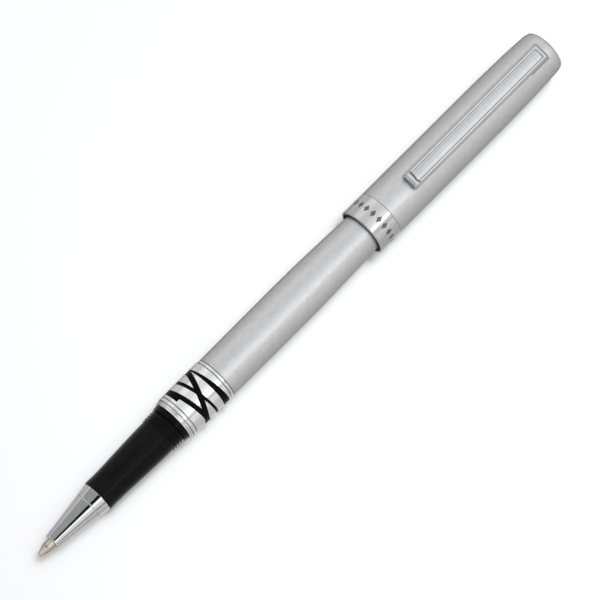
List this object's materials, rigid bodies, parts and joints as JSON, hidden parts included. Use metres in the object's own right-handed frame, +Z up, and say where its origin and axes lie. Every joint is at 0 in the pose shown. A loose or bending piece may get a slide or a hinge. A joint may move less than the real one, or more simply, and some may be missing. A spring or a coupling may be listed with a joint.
{
  "type": "rollerball pen",
  "caption": "Slim rollerball pen with its cap posted: chrome nose, black grip, banded trim ring, silver barrel and cap, long flat clip.",
  "frame": {"origin": "middle of the footprint: half way along the pen, on its centre plane, on the surface that it lies on", "axes": "+X along the pen from the writing ball to the closed end of the cap; +Z up, with the clip on top"},
  "size_m": [0.1672, 0.0124, 0.0143],
  "materials": {
    "satin_lacquer": "pearl silver lacquer, satin",
    "bright_chrome": "polished chrome plate",
    "black_plastic": "moulded, polished",
    "black_enamel": "black enamel fill, glossy",
    "dark_enamel": "dark enamel fill",
    "dark_plastic": "moulded, satin",
    "refill_plastic": "extruded and moulded plastic",
    "nickel_silver": "fine turned",
    "hard_ball": "polished hard metal",
    "spring_steel": "drawn wire",
    "turned_brass": "fine turned",
    "cast_aluminium": "turned",
    "ink_fibre": "bonded fibre, soaked with ink"
  },
  "bodies": {
    "barrel": {"barrel_tube": "satin_lacquer", "barrel_bush": "turned_brass", "tail_plug": "dark_plastic", "refill_spring": "spring_steel"},
    "refill": {"refill_tube": "refill_plastic", "refill_tip_holder": "refill_plastic", "refill_tip": "nickel_silver", "ink_wick": "ink_fibre", "ink_reservoir": "ink_fibre", "refill_end_plug": "dark_plastic"},
    "section": {"nose_cone": "bright_chrome", "nose_collar": "bright_chrome", "grip_section": "black_plastic", "section_bush": "turned_brass", "trim_lip_ring": "bright_chrome", "trim_front_ring": "bright_chrome", "trim_band": "bright_chrome", "trim_band_inlay": "black_enamel", "trim_rear_ring": "bright_chrome"},
    "ball": {"writing_ball": "hard_ball"},
    "cap": {"cap_shell": "satin_lacquer", "cap_band": "bright_chrome", "cap_band_motif": "dark_enamel", "cap_liner": "dark_plastic", "clip_anchor": "cast_aluminium"},
    "clip": {"clip": "bright_chrome"}
  },
  "joints": [
    {"name": "refill_advance", "type": "slide", "parent": "barrel", "child": "refill", "axis": [-1, 0, 0], "range_m": [0, 0.005], "deforming": ["refill_spring"]},
    {"name": "section_unscrew", "type": "hinge", "parent": "refill", "child": "section", "pos_m": [-0.0269, 0, 0.00625], "axis": [-1, 0, 0], "range_deg": [0, 1800]},
    {"name": "ball_roll", "type": "hinge", "parent": "refill", "child": "ball", "pos_m": [-0.08325, 0, 0.00625], "axis": [0, 1, 0], "continuous": true},
    {"name": "cap_pull", "type": "slide", "parent": "barrel", "child": "cap", "axis": [1, 0, 0], "range_m": [0, 0.03]},
    {"name": "clip_flex", "type": "hinge", "parent": "cap", "child": "clip", "pos_m": [0.0778, 0, 0.01125], "axis": [0, 1, 0], "range_deg": [0, 4], "stiffness_Nm_per_rad": 4.3}
  ],
  "couplings": [
    {"joint": "refill_advance", "follows": "section_unscrew", "m_per_rad": 0.00015915}
  ]
}
